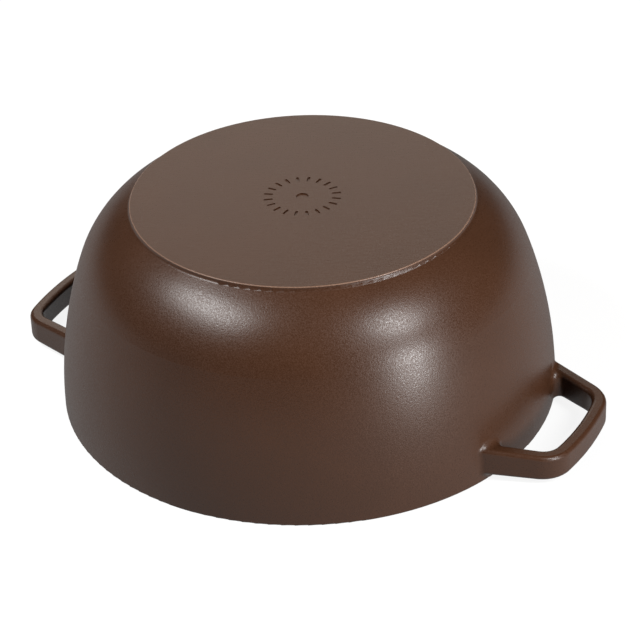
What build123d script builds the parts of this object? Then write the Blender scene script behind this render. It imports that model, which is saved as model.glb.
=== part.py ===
from build123d import *

import os
from math import asin, atan2, cos, radians, sin, sqrt, tan

# A round cast-iron dutch oven, 26 cm across the rim, stored upside down over its own lid.
# The pot stands on its rim with its base up. The lid lies on the floor, knob up, inside the
# seat that is turned into the rim, so it is hidden until the pot is lifted off it.
# Millimetres. +Z is up, and the origin is the centre of the rim's face on the floor.
# +X runs through one handle and -X through the other.

# Pot: the outside, from the rim on the floor up to the base
rim_radius = 130.0  # outside of the rim, the nominal 26 cm size
side_height = 77.2  # from the rim to where the shoulder starts
side_inset = 13.3  # how far the side has come in by then, on one large arc
shoulder_rise = 33.0  # from there to the foot of the base disc, on a tighter arc
base_radius = 88.4  # the flat disc that the pot cooks on
base_step = 1.8  # how far the disc stands proud of the shoulder
base_edge_round = 0.45
base_foot_round = 2.2  # the hollow where the disc meets the shoulder
rim_edge_round = 0.8

# Pot: the inside
wall = 4.5
floor_thickness = 5.5
floor_corner_round = 12.0
lip = 3.9  # the part of the rim that stays outside the lid
seat_depth = 5.0  # from the rim's face to the ledge that carries the lid
ledge = 3.5  # how wide that ledge is
seat_corner_round = 0.6

# Handles, cast in one with the pot
handle_reach = 31.2  # from the rim's outside to the handle's outer face
handle_bar = 7.3  # how thick the bar is, seen from above
arm_half_spread = 42.8  # from the middle of the handle to an arm's outer side, at the rim
arm_lean = 19.0  # degrees by which the arms close in towards the bar
handle_corner_round = 17.5  # outer corners between arms and bar
handle_rim_gap = 4.2  # from the rim's face to the handle, where it leaves the pot
handle_root_height = 14.6
handle_end_height = 13.3
handle_droop = 1.5  # how much nearer the rim's plane the handle is at its outer end
handle_edge_round = 2.1
handle_root_round = 4.0  # the casting fillet where the arms leave the pot

# A ring of short cast marks in the middle of the base
mark_count = 20
mark_ring_radius = 17.6
mark_length = 4.8
mark_width = 1.4
mark_depth = 0.6
centre_mark_radius = 3.2

# Lid: lies in the seat with its flange on the floor
lid_clearance = 0.5  # all round, between the lid's edge and the lip
flange_thickness = 4.4
flange_width = 9.6
flange_edge_round = 1.2
flange_hollow_round = 8.0  # the hollow between the flange and the dome, on top
dome_rise = 18.0
dome_thickness = 4.0
knob_boss_radius = 13.0
knob_boss_height = 0.8
knob_boss_round = 0.6
washer_pad_radius = 9.0
washer_pad_height = 1.0
screw_hole_radius = 3.4

# Drip points cast under the lid, in rings
drip_ring_step = 30.0
drip_rings = 3
drips_in_first_ring = 8
drip_radius = 2.6
drip_tip_radius = 1.2
drip_height = 2.4

# Knob, washer and screw
knob_base_radius = 11.0
knob_waist_radius = 8.0
knob_top_radius = 19.0
knob_height = 27.0
knob_foot_height = 3.0
knob_waist_height = 13.0
knob_brim_height = 19.5
knob_brim_thickness = 4.5
knob_base_round = 0.8
knob_waist_round = 5.0
knob_brim_round = 1.6
screw_radius = 3.0
thread_clearance = 0.05
thread_depth = 13.0
screw_end_gap = 2.0
screw_head_radius = 5.8
screw_head_height = 3.4
screw_head_round = 1.2
slot_width = 1.4
slot_depth = 1.5
washer_radius = 6.6
washer_thickness = 1.5
washer_clearance = 0.3

# How the edges to be rounded are found, and how far they can be
near = 0.02  # an edge this close to a surface lies on it
upright = 0.7  # an edge that rises this much per unit of its length is an upright one
fillet_share = 0.98  # how much of the wall beside it a fillet may use up

# Worked out from the sizes above
shoulder_top = side_height + shoulder_rise
height = shoulder_top + base_step
side_radius = (side_height**2 + side_inset**2) / (2 * side_inset)
side_centre = (rim_radius - side_radius, 0.0)
side_lean = asin(side_height / side_radius)
chord_in = rim_radius - side_inset - base_radius
shoulder_radius = (chord_in**2 + shoulder_rise**2) / (
    2 * (chord_in * cos(side_lean) - shoulder_rise * sin(side_lean))
)
shoulder_centre = (
    rim_radius - side_inset - shoulder_radius * cos(side_lean),
    side_height - shoulder_radius * sin(side_lean),
)
shoulder_end = atan2(shoulder_top - shoulder_centre[1], base_radius - shoulder_centre[0])
step_wall = base_step - base_edge_round
foot_limit = fillet_share * step_wall / tan(shoulder_end / 2)
seat_radius = rim_radius - lip
bore_radius = seat_radius - ledge
floor_level = height - floor_thickness
lid_radius = seat_radius - lid_clearance
dome_edge_radius = lid_radius - flange_width
dome_radius = (dome_edge_radius**2 + dome_rise**2) / (2 * dome_rise)
dome_centre = flange_thickness + dome_rise - dome_radius
hollow_radius = dome_radius - dome_thickness
dome_top = flange_thickness + dome_rise
boss_top = dome_top + knob_boss_height
pad_level = dome_top - dome_thickness - washer_pad_height


def on_arc(centre, radius, angle):
    """The point of an arc in the section plane, at an angle from the outward direction."""
    return (centre[0] + radius * cos(angle), centre[1] + radius * sin(angle))


def arc(centre, radius, start, end):
    """An arc in the section plane between two angles from the outward direction."""
    middle = (start + end) / 2
    return ThreePointArc(
        on_arc(centre, radius, start),
        on_arc(centre, radius, middle),
        on_arc(centre, radius, end),
    )


def corner(section, point):
    """The corner of a section nearest to a point, for rounding it."""
    return section.vertices().sort_by_distance((point[0], point[1], 0))[0]


def turned(section):
    """The solid of a section, drawn as radius and height, turned once round the Z axis."""
    return revolve(Plane.XZ * section, Axis.Z)


def disc(radius, low, high):
    """A plain cylinder on the Z axis between two levels."""
    cylinder = Cylinder(radius, high - low, align=(Align.CENTER, Align.CENTER, Align.MIN))
    return Pos(0, 0, low) * cylinder


def wall_radius(level):
    """The outside radius of the pot at a level."""
    if level <= side_height:
        return side_centre[0] + sqrt(side_radius**2 - level**2)
    return shoulder_centre[0] + sqrt(shoulder_radius**2 - (level - shoulder_centre[1]) ** 2)


def pot_blank():
    """The outside of the pot as a full solid, without handles."""
    foot = (base_radius, shoulder_top)
    outline = [
        Line((0, 0), (rim_radius, 0)),
        arc(side_centre, side_radius, 0, side_lean),
        arc(shoulder_centre, shoulder_radius, side_lean, shoulder_end),
        Line(foot, (base_radius, height)),
        Line((base_radius, height), (0, height)),
        Line((0, height), (0, 0)),
    ]
    section = make_face(outline)
    section = fillet(corner(section, (rim_radius, 0)), rim_edge_round)
    section = fillet(corner(section, (base_radius, height)), base_edge_round)
    section = fillet(corner(section, foot), min(base_foot_round, foot_limit))
    return turned(section)


def pot_cavity():
    """The cooking space, with the lid's seat at its mouth."""
    side_inside = side_radius - wall
    shoulder_inside = shoulder_radius - wall
    crown = on_arc(shoulder_centre, shoulder_inside, radians(90))
    outline = [
        Line((0, 0), on_arc(side_centre, side_inside, 0)),
        arc(side_centre, side_inside, 0, side_lean),
        arc(shoulder_centre, shoulder_inside, side_lean, radians(90)),
        Line(crown, (0, crown[1])),
        Line((0, crown[1]), (0, 0)),
    ]
    room = Rectangle(bore_radius, floor_level, align=(Align.MIN, Align.MIN))
    section = make_face(outline) & room
    floor_edge = section.edges().sort_by(Axis.Y)[-1]
    floor_corner = floor_edge.vertices().sort_by(Axis.X)[-1]
    section = fillet(floor_corner, floor_corner_round)
    seat = fillet(
        corner(
            Rectangle(seat_radius, seat_depth, align=(Align.MIN, Align.MIN)),
            (seat_radius, seat_depth),
        ),
        seat_corner_round,
    )
    return turned(section) + turned(seat)


def handle_loop(inset):
    """The region inside the handle's outline, seen from above and set in by an amount."""
    lean = radians(arm_lean)
    outer = rim_radius + handle_reach - inset
    root = rim_radius - handle_reach

    def arm_side(x):
        return arm_half_spread - inset / cos(lean) - (x - rim_radius) * tan(lean)

    wedge = make_face(
        Polyline(
            (root, -arm_side(root)),
            (outer + inset, -arm_side(outer + inset)),
            (outer + inset, arm_side(outer + inset)),
            (root, arm_side(root)),
            close=True,
        )
    )
    loop = wedge & Circle(outer)
    ends = loop.vertices().sort_by(Axis.X)[-2:]
    return fillet(ends, handle_corner_round - inset)


def handle():
    """One handle along +X, running well into the pot's wall."""
    root = rim_radius - handle_reach
    outer = rim_radius + handle_reach
    slope = handle_droop / handle_reach
    taper = (handle_root_height - handle_end_height) / handle_reach

    def low(x):
        return handle_rim_gap - slope * (x - rim_radius)

    def high(x):
        return low(x) + handle_root_height - taper * (x - rim_radius)

    side_view = make_face(
        Polyline(
            (root, low(root)),
            (outer, low(outer)),
            (outer, high(outer)),
            (root, high(root)),
            close=True,
        )
    )
    loop = extrude(handle_loop(0) - handle_loop(handle_bar), height)
    slab = extrude(Plane.XZ * side_view, rim_radius, both=True)
    bar = loop & slab
    inner_ends = bar.faces().filter_by(Axis.X).sort_by(Axis.X)[:2]
    root_edges = [edge for face in inner_ends for edge in face.edges()]
    long_edges = [
        edge
        for edge in bar.edges()
        if all((edge.center() - other.center()).length > near for other in root_edges)
        and abs(edge.tangent_at(0.5).Z) < upright
    ]
    return fillet(long_edges, handle_edge_round)


def base_marks():
    """Short radial marks and a round one in the middle, sunk into the base."""
    mark = SlotOverall(mark_length, mark_width)
    ring = PolarLocations(mark_ring_radius, mark_count)
    marks = Sketch() + [place * mark for place in ring] + Circle(centre_mark_radius)
    return extrude(Pos(0, 0, height - mark_depth) * marks, 2 * mark_depth)


def pot():
    """The pot: one casting, with both handles."""
    grip = handle()
    casting = pot_blank() + grip + Rot(0, 0, 180) * grip
    casting = fillet(handle_roots(casting), handle_root_round)
    return casting - pot_cavity() - base_marks()


def handle_roots(casting):
    """The edges where the arms meet the pot's outside."""
    top = handle_rim_gap + handle_root_height + handle_droop
    found = []
    for edge in casting.edges():
        middle = edge.position_at(0.5)
        if not rim_edge_round < middle.Z < top:
            continue
        on_wall = abs(sqrt(middle.X**2 + middle.Y**2) - wall_radius(middle.Z)) < near
        if on_wall and abs(middle.Y) > handle_bar and edge.length < side_height:
            found.append(edge)
    return found


def drip_points():
    """The drip points under the lid, each standing out of the dome's underside."""
    points = []
    for ring in range(1, drip_rings + 1):
        radius = ring * drip_ring_step
        level = dome_centre + sqrt(hollow_radius**2 - radius**2)
        drip = Cone(
            drip_tip_radius,
            drip_radius,
            drip_height + dome_thickness,
            align=(Align.CENTER, Align.CENTER, Align.MIN),
        )
        for place in PolarLocations(radius, ring * drips_in_first_ring):
            points.append(Pos(0, 0, level - drip_height) * place * drip)
    return points


def lid_hollow():
    """The space under the dome, around the drip points and the washer's pad."""
    ball = Pos(0, 0, dome_centre) * Sphere(hollow_radius)
    hollow = ball & disc(lid_radius, 0, dome_top)
    return hollow - drip_points() - disc(washer_pad_radius, pad_level, dome_top)


def lid():
    """The lid: one casting, a low dome inside a flat flange."""
    edge_angle = asin(dome_edge_radius / dome_radius)
    dome_foot = (dome_edge_radius, flange_thickness)
    flange_corner = (lid_radius, flange_thickness)
    outline = [
        Line((0, 0), (lid_radius, 0)),
        Line((lid_radius, 0), flange_corner),
        Line(flange_corner, dome_foot),
        arc((0.0, dome_centre), dome_radius, radians(90) - edge_angle, radians(90)),
        Line((0, dome_top), (0, 0)),
    ]
    section = make_face(outline)
    section = fillet(corner(section, dome_foot), flange_hollow_round)
    section = fillet(corner(section, flange_corner), flange_edge_round)
    section = fillet(corner(section, (lid_radius, 0)), flange_edge_round)
    boss = disc(knob_boss_radius, dome_top - dome_thickness, boss_top)
    boss = fillet(boss.edges().sort_by(Axis.Z)[-1], knob_boss_round)
    screw_hole = disc(screw_hole_radius, 0, boss_top + dome_rise)
    return turned(section) + boss - lid_hollow() - screw_hole


def knob():
    """The knob: turned steel on the lid's boss, with a blind threaded hole."""
    brim_foot = knob_brim_height
    brim_top = knob_brim_height + knob_brim_thickness
    points = [
        (0, 0),
        (knob_base_radius, 0),
        (knob_base_radius, knob_foot_height),
        (knob_waist_radius, knob_foot_height + knob_base_radius - knob_waist_radius),
        (knob_waist_radius, knob_waist_height),
        (knob_top_radius, brim_foot),
        (knob_top_radius, brim_top),
    ]
    crown_rise = knob_height - brim_top
    crown_radius = (knob_top_radius**2 + crown_rise**2) / (2 * crown_rise)
    crown_centre = (0.0, knob_height - crown_radius)
    brim_angle = asin(knob_top_radius / crown_radius)
    outline = [
        Polyline(*points),
        arc(crown_centre, crown_radius, radians(90) - brim_angle, radians(90)),
        Line((0, knob_height), (0, 0)),
    ]
    section = make_face(outline)
    section = fillet(corner(section, points[1]), knob_base_round)
    section = fillet(corner(section, points[2]), knob_base_round)
    section = fillet(corner(section, points[4]), knob_waist_round)
    section = fillet(corner(section, points[5]), knob_brim_round)
    section = fillet(corner(section, points[6]), knob_brim_round)
    bore = disc(screw_radius + thread_clearance, 0, thread_depth)
    return Pos(0, 0, boss_top) * (turned(section) - bore)


def washer():
    """The washer between the screw's head and the lid's underside."""
    ring = disc(washer_radius, pad_level - washer_thickness, pad_level)
    return ring - disc(screw_radius + washer_clearance, 0, pad_level)


def screw():
    """The screw that holds the knob, with a slotted head under the lid."""
    head_top = pad_level - washer_thickness
    head_low = head_top - screw_head_height
    head = disc(screw_head_radius, head_low, head_top)
    head = fillet(head.edges().sort_by(Axis.Z)[0], screw_head_round)
    shank = disc(screw_radius, head_top, boss_top + thread_depth - screw_end_gap)
    slot = Pos(0, 0, head_low) * Box(2 * washer_radius, slot_width, 2 * slot_depth)
    return head + shank - slot


pieces = {
    "pot": pot(),
    "lid": lid(),
    "lid_knob": knob(),
    "knob_screw": screw(),
    "knob_washer": washer(),
}

os.makedirs("parts", exist_ok=True)
for name, piece in pieces.items():
    export_step(piece, f"parts/{name}.step")
print(f"height {height:.1f}, side radius {side_radius:.1f}, shoulder radius {shoulder_radius:.1f}")
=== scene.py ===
from math import asin, cos, radians, sin

import bpy
from mathutils import Matrix, Vector

# An upside-down cast-iron dutch oven in satin brown enamel, over its own lid.
# Metres. +Z is up, the origin is the centre of the pot's rim on the floor, and +X runs
# through the handle that is nearer to the camera.

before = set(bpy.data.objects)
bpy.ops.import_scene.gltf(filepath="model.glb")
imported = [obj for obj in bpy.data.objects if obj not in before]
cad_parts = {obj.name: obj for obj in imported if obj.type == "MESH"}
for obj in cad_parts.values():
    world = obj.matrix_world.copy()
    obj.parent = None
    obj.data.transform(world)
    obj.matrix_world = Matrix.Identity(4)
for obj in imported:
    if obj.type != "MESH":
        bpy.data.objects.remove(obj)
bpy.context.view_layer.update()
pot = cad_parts["pot"]
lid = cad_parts["lid"]
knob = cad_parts["lid_knob"]
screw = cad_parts["knob_screw"]
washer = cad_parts["knob_washer"]

MM = 0.001

# The pot's outside, with the driving sizes of the solid model
RIM_RADIUS = 130.0 * MM
SIDE_HEIGHT = 77.2 * MM
SIDE_INSET = 13.3 * MM
SHOULDER_RISE = 33.0 * MM
BASE_RADIUS = 88.4 * MM
BASE_STEP = 1.8 * MM
BASE_ROUND = 0.45 * MM
WALL_MIDDLE = 2.2 * MM  # from the outside to the middle of the wall
BASE_MIDDLE = 3.0 * MM  # from the base to the middle of the floor's thickness
BASE_SKIN = 0.3 * MM  # the base's ripples reach this far down its edge

# The arcs of the outside, each with its centre as radius and level
BASE_LEVEL = SIDE_HEIGHT + SHOULDER_RISE + BASE_STEP
SIDE_RADIUS = (SIDE_HEIGHT**2 + SIDE_INSET**2) / (2 * SIDE_INSET)
SIDE_CENTRE = (RIM_RADIUS - SIDE_RADIUS, 0.0)
SIDE_LEAN = asin(SIDE_HEIGHT / SIDE_RADIUS)
CHORD_IN = RIM_RADIUS - SIDE_INSET - BASE_RADIUS
SHOULDER_RADIUS = (CHORD_IN**2 + SHOULDER_RISE**2) / (
    2 * (CHORD_IN * cos(SIDE_LEAN) - SHOULDER_RISE * sin(SIDE_LEAN))
)
SHOULDER_CENTRE = (
    RIM_RADIUS - SIDE_INSET - SHOULDER_RADIUS * cos(SIDE_LEAN),
    SIDE_HEIGHT - SHOULDER_RADIUS * sin(SIDE_LEAN),
)

# The lid, as in the solid model
DOME_CENTRE = (0.0, -360.4 * MM)
DOME_MIDDLE = 380.8 * MM  # from there to the middle of the dome's thickness
LID_FACE = 0.6 * MM  # the flange is black below this level

# Colours, 0 to 255 as they are seen
BROWN_ENAMEL = (54, 32, 19)
EDGE_ENAMEL_AND_HIGHLIGHT = (104, 80, 66)  # thin enamel along the base's edge, lighter, and a painted highlight on the edge's rounding
BLACK_ENAMEL = (34, 31, 29)
STEEL = (196, 193, 188)

# Finishes
SATIN = 0.35  # roughness of the brown enamel
SANDY = 0.08  # how much the grain moves it up and down
MATTE = 0.6  # roughness of the black enamel
GLAZE_GLOSS = 0.27  # specular level of both enamels
NOISE_SPAN = (0.3, 0.7)  # where nearly all of a noise's values lie
GRAIN_TONE = 0.12
CLOUD_TONE = 0.04
GRAIN_HEIGHT = 0.05 * MM
PEEL_HEIGHT = 0.04 * MM
RIPPLE_HEIGHT = 0.05 * MM
BASE_GRAIN = 0.35  # how much of the grain's height the base has
GRAIN_SCALE = 1500.0
PEEL_SCALE = 800.0
CLOUD_SCALE = 40.0
RIPPLE_SCALE = 900.0
RIPPLE_STRETCH = (5.0, 1.0, 1.0)  # long across the view, as in the photograph
GRAIN_DETAIL = 1.0
PEEL_DETAIL = 2.0
CLOUD_DETAIL = 3.0
RIPPLE_DETAIL = 2.0
KNOB_POLISH = 0.28  # roughness of the steel knob
FASTENER_POLISH = 0.38  # roughness of the screw and the washer
RING_SCALE = 4000.0  # the turning tool's rings
RING_DETAIL = 2.0
RING_ROUGHNESS = 0.06
RING_HEIGHT = 0.02 * MM
RING_STRENGTH = 0.4

# Light: lamps by their direction from the camera's in degrees, size in metres and power in watts
AIM = Vector((0.0, 0.0, 0.06))
FLOOR_SIZE = 40.0
FLOOR_ALBEDO = 0.12
FLOOR_GLOW = 0.87
SKY_LIGHT = 0.05
WHITE = (1.0, 1.0, 1.0)
WARM_WHITE = (1.0, 0.89, 0.79)
GRAZING_SHADE = 0.15  # how much sooner the light at a low angle fades on the pot

# Camera, fitted to the outlines of the rim, the side, the base disc and the handles
CAMERA_AZIMUTH = radians(29.62)
CAMERA_ELEVATION = radians(33.63)
CAMERA_DISTANCE = 1.3871
CAMERA_PITCH = radians(32.34)
CAMERA_YAW = radians(0.323)
CAMERA_ROLL = radians(-2.245)
CAMERA_LENS = 146.56
SENSOR_WIDTH = 36.0
CLIP_END = 100.0


def seen(colour):
    """A colour given as it is seen, 0 to 255, as the linear colour that a shader takes."""
    parts = [value / 255 for value in colour]
    return [p / 12.92 if p <= 0.04045 else ((p + 0.055) / 1.055) ** 2.4 for p in parts] + [1.0]


class Nodes:
    """A material's node tree, with short ways to add the nodes that the finishes share."""

    def __init__(self, name):
        self.material = bpy.data.materials.new(name)
        self.material.use_nodes = True
        self.tree = self.material.node_tree
        self.shader = self.tree.nodes["Principled BSDF"]
        self.place = self.add("ShaderNodeTexCoord").outputs["Object"]

    def add(self, kind, **settings):
        node = self.tree.nodes.new(kind)
        for key, value in settings.items():
            setattr(node, key, value)
        return node

    def put(self, value, socket):
        """Links an output to a socket, or sets the socket to a plain value."""
        if isinstance(value, bpy.types.NodeSocket):
            self.tree.links.new(value, socket)
        else:
            socket.default_value = value

    def math(self, operation, first, second=0.0):
        node = self.add("ShaderNodeMath", operation=operation)
        self.put(first, node.inputs[0])
        self.put(second, node.inputs[1])
        return node.outputs[0]

    def noise(self, scale, detail, stretch=(1.0, 1.0, 1.0), turn=0.0):
        mapping = self.add("ShaderNodeMapping", vector_type="TEXTURE")
        mapping.inputs["Scale"].default_value = stretch
        mapping.inputs["Rotation"].default_value = (0.0, 0.0, turn)
        self.put(self.place, mapping.inputs["Vector"])
        node = self.add("ShaderNodeTexNoise")
        node.inputs["Scale"].default_value = scale
        node.inputs["Detail"].default_value = detail
        self.put(mapping.outputs[0], node.inputs["Vector"])
        return node.outputs["Fac"]

    def ramp(self, value, low, high, start, end):
        """A value from start to end as another goes from low to high."""
        node = self.add("ShaderNodeMapRange")
        self.put(value, node.inputs["Value"])
        for name, number in (("From Min", low), ("From Max", high), ("To Min", start), ("To Max", end)):
            self.put(number, node.inputs[name])
        return node.outputs["Result"]

    def mix(self, amount, first, second):
        node = self.add("ShaderNodeMix", data_type="RGBA")
        self.put(amount, node.inputs[0])
        self.put(first, node.inputs[6])
        self.put(second, node.inputs[7])
        return node.outputs[2]

    def mix_value(self, amount, first, second):
        node = self.add("ShaderNodeMix", data_type="FLOAT")
        self.put(amount, node.inputs[0])
        self.put(first, node.inputs[2])
        self.put(second, node.inputs[3])
        return node.outputs[0]

    def bump(self, height, distance, strength=1.0, under=None):
        node = self.add("ShaderNodeBump")
        self.put(strength, node.inputs["Strength"])
        node.inputs["Distance"].default_value = distance
        self.put(height, node.inputs["Height"])
        if under is not None:
            self.put(under, node.inputs["Normal"])
        return node.outputs["Normal"]

    def axes(self):
        """The radius from the Z axis and the height of a point."""
        split = self.add("ShaderNodeSeparateXYZ")
        self.put(self.place, split.inputs[0])
        x, y, z = split.outputs
        across = self.math("ADD", self.math("MULTIPLY", x, x), self.math("MULTIPLY", y, y))
        return self.math("SQRT", across), z

    def reach(self, radius, level, centre):
        """How far a point lies from a centre in the section plane."""
        out = self.math("SUBTRACT", radius, centre[0])
        up = self.math("SUBTRACT", level, centre[1])
        squares = self.math("ADD", self.math("MULTIPLY", out, out), self.math("MULTIPLY", up, up))
        return self.math("SQRT", squares)


def enamel(nodes, colour, black, on_base=0.0, ripple=0.0):
    """Satin enamel with a fine sandy grain, fainter on the base, and matte where it is black."""
    grain = nodes.noise(GRAIN_SCALE, GRAIN_DETAIL)
    peel = nodes.noise(PEEL_SCALE, PEEL_DETAIL)
    cloud = nodes.noise(CLOUD_SCALE, CLOUD_DETAIL)
    shade = nodes.ramp(cloud, *NOISE_SPAN, 1.0 - CLOUD_TONE, 1.0 + CLOUD_TONE)
    fine = nodes.ramp(grain, *NOISE_SPAN, 1.0 - GRAIN_TONE, 1.0 + GRAIN_TONE)
    tone = nodes.add("ShaderNodeHueSaturation")
    nodes.put(nodes.mix(black, colour, seen(BLACK_ENAMEL)), tone.inputs["Color"])
    nodes.put(nodes.math("MULTIPLY", shade, fine), tone.inputs["Value"])
    nodes.put(tone.outputs["Color"], nodes.shader.inputs["Base Color"])
    satin = nodes.ramp(grain, *NOISE_SPAN, SATIN - SANDY, SATIN + SANDY)
    nodes.put(nodes.mix_value(black, satin, MATTE), nodes.shader.inputs["Roughness"])
    nodes.shader.inputs["Specular IOR Level"].default_value = GLAZE_GLOSS
    sandy = nodes.ramp(on_base, 0.0, 1.0, 1.0, BASE_GRAIN)
    rippled = nodes.bump(ripple, RIPPLE_HEIGHT, on_base)
    coarse = nodes.bump(peel, PEEL_HEIGHT, sandy, rippled)
    nodes.put(nodes.bump(grain, GRAIN_HEIGHT, sandy, coarse), nodes.shader.inputs["Normal"])
    return nodes.material


def pot_enamel():
    """Brown satin enamel outside, with long ripples in the base, and black enamel inside."""
    nodes = Nodes("pot_enamel")
    radius, level = nodes.axes()
    side = nodes.reach(radius, level, SIDE_CENTRE)
    shoulder = nodes.reach(radius, level, SHOULDER_CENTRE)
    in_side = nodes.math("LESS_THAN", side, SIDE_RADIUS - WALL_MIDDLE)
    in_shoulder = nodes.math("LESS_THAN", shoulder, SHOULDER_RADIUS - WALL_MIDDLE)
    over_crown = nodes.math("LESS_THAN", radius, SHOULDER_CENTRE[0])
    low_side = nodes.math("LESS_THAN", level, SIDE_HEIGHT)
    under_base = nodes.math("LESS_THAN", level, BASE_LEVEL - BASE_MIDDLE)
    inside = nodes.math("MAXIMUM", nodes.math("MAXIMUM", in_shoulder, over_crown), low_side)
    inside = nodes.math("MULTIPLY", nodes.math("MULTIPLY", inside, in_side), under_base)
    on_base = nodes.math("GREATER_THAN", level, BASE_LEVEL - BASE_SKIN)
    ripple = nodes.noise(RIPPLE_SCALE, RIPPLE_DETAIL, RIPPLE_STRETCH, CAMERA_AZIMUTH)
    # A lighter ring round the base's edge: thinner enamel there, and a painted highlight on the rounding
    at_edge = nodes.math("GREATER_THAN", radius, BASE_RADIUS - BASE_ROUND)
    at_edge = nodes.math("MULTIPLY", at_edge, nodes.math("GREATER_THAN", level, BASE_LEVEL - BASE_ROUND))
    brown = nodes.mix(at_edge, seen(BROWN_ENAMEL), seen(EDGE_ENAMEL_AND_HIGHLIGHT))
    return enamel(nodes, brown, inside, on_base, ripple)


def lid_enamel():
    """Brown satin enamel on top, matte black enamel underneath."""
    nodes = Nodes("lid_enamel")
    radius, level = nodes.axes()
    hollow = nodes.reach(radius, level, DOME_CENTRE)
    under = nodes.math("LESS_THAN", hollow, DOME_MIDDLE)
    under = nodes.math("MAXIMUM", under, nodes.math("LESS_THAN", level, LID_FACE))
    return enamel(nodes, seen(BROWN_ENAMEL), under)


def steel(name, roughness):
    """Turned steel, with the tool's fine rings round the axis."""
    nodes = Nodes(name)
    nodes.shader.inputs["Base Color"].default_value = seen(STEEL)
    nodes.shader.inputs["Metallic"].default_value = 1.0
    radius, level = nodes.axes()
    ring = nodes.add("ShaderNodeCombineXYZ")
    nodes.put(radius, ring.inputs[0])
    nodes.put(level, ring.inputs[2])
    turned = nodes.add("ShaderNodeTexNoise")
    turned.inputs["Scale"].default_value = RING_SCALE
    turned.inputs["Detail"].default_value = RING_DETAIL
    nodes.put(ring.outputs[0], turned.inputs["Vector"])
    rings = turned.outputs["Fac"]
    rough = nodes.ramp(rings, *NOISE_SPAN, roughness - RING_ROUGHNESS, roughness + RING_ROUGHNESS)
    nodes.put(rough, nodes.shader.inputs["Roughness"])
    nodes.put(nodes.bump(rings, RING_HEIGHT, RING_STRENGTH), nodes.shader.inputs["Normal"])
    return nodes.material


def finish_nodes():
    """Gives every CAD node its material, and dims the light that grazes the pot."""
    fastener = steel("fastener_steel", FASTENER_POLISH)
    for node, material in (
        (pot, pot_enamel()),
        (lid, lid_enamel()),
        (knob, steel("knob_steel", KNOB_POLISH)),
        (screw, fastener),
        (washer, fastener),
    ):
        node.material_slots[0].material = material
    pot.shadow_terminator_shading_offset = GRAZING_SHADE


def add_floor():
    """A pale floor that fills the view. Mirrored and clear rays see it as the camera does."""
    bpy.ops.object.select_all(action="DESELECT")
    bpy.ops.mesh.primitive_plane_add(size=FLOOR_SIZE, location=(0.0, 0.0, 0.0))
    floor = bpy.context.active_object
    floor.name = "floor"
    material = bpy.data.materials.new("floor")
    material.use_nodes = True
    tree = material.node_tree
    shader = tree.nodes["Principled BSDF"]
    shader.inputs["Base Color"].default_value = (FLOOR_ALBEDO, FLOOR_ALBEDO, FLOOR_ALBEDO, 1.0)
    shader.inputs["Roughness"].default_value = 1.0
    shader.inputs["Specular IOR Level"].default_value = 0.0
    shader.inputs["Emission Color"].default_value = (1.0, 1.0, 1.0, 1.0)
    path = tree.nodes.new("ShaderNodeLightPath")
    sees_white = path.outputs["Is Camera Ray"]
    for ray in ("Is Glossy Ray", "Is Transmission Ray"):
        either = tree.nodes.new("ShaderNodeMath")
        either.operation = "MAXIMUM"
        tree.links.new(sees_white, either.inputs[0])
        tree.links.new(path.outputs[ray], either.inputs[1])
        sees_white = either.outputs[0]
    glow = tree.nodes.new("ShaderNodeMath")
    glow.operation = "MULTIPLY"
    glow.inputs[1].default_value = FLOOR_GLOW
    tree.links.new(sees_white, glow.inputs[0])
    tree.links.new(glow.outputs[0], shader.inputs["Emission Strength"])
    floor.data.materials.append(material)


def add_world():
    """Soft light from all round, the same for every ray."""
    world = bpy.data.worlds.new("studio")
    bpy.context.scene.world = world
    world.use_nodes = True
    light = world.node_tree.nodes["Background"]
    light.inputs["Color"].default_value = (1.0, 1.0, 1.0, 1.0)
    light.inputs["Strength"].default_value = SKY_LIGHT


def add_panel(name, azimuth, elevation, distance, width, height, power, colour=WHITE):
    """A soft panel lamp that faces the pot, placed by its direction from the camera's."""
    turn = CAMERA_AZIMUTH + radians(azimuth)
    rise = radians(elevation)
    aim = Vector((sin(turn) * cos(rise), -cos(turn) * cos(rise), sin(rise)))
    data = bpy.data.lights.new(name, "AREA")
    data.shape = "RECTANGLE"
    data.size = width
    data.size_y = height
    data.energy = power
    data.color = colour
    lamp = bpy.data.objects.new(name, data)
    bpy.context.scene.collection.objects.link(lamp)
    lamp.visible_camera = False
    lamp.location = AIM + distance * aim
    lamp.rotation_euler = aim.to_track_quat("Z", "Y").to_euler()


def add_camera():
    """The camera at the photograph's viewing angle."""
    pitch, yaw, roll = CAMERA_PITCH, CAMERA_YAW, CAMERA_ROLL
    ahead = Vector((sin(yaw) * cos(pitch), cos(yaw) * cos(pitch), -sin(pitch)))
    level = Vector((cos(yaw), -sin(yaw), 0.0))
    upright = level.cross(ahead)
    right = cos(roll) * level + sin(roll) * upright
    up = cos(roll) * upright - sin(roll) * level
    data = bpy.data.cameras.new("camera")
    data.lens = CAMERA_LENS
    data.sensor_width = SENSOR_WIDTH
    data.clip_end = CLIP_END
    camera = bpy.data.objects.new("camera", data)
    bpy.context.scene.collection.objects.link(camera)
    pose = Matrix((right, up, -ahead)).transposed().to_4x4()
    pose.translation = CAMERA_DISTANCE * Vector((0.0, -cos(CAMERA_ELEVATION), sin(CAMERA_ELEVATION)))
    camera.matrix_world = Matrix.Rotation(CAMERA_AZIMUTH, 4, "Z") @ pose
    bpy.context.scene.camera = camera


finish_nodes()
add_floor()
add_world()
add_panel(
    "left_panel", azimuth=-68.0, elevation=50.5, distance=1.2, width=0.66, height=0.24, power=20.5
)
add_panel(
    "right_low_panel", azimuth=46.0, elevation=7.0, distance=1.3, width=0.17, height=0.30, power=15.5
)
add_panel(
    "right_high_panel", azimuth=49.0, elevation=38.0, distance=1.3, width=0.24, height=0.36, power=17.0
)
add_panel(
    "back_panel", azimuth=180.0, elevation=24.0, distance=1.6, width=1.4, height=0.9, power=9.0,
    colour=WARM_WHITE,
)
add_camera()
bpy.context.scene.view_settings.view_transform = "Standard"
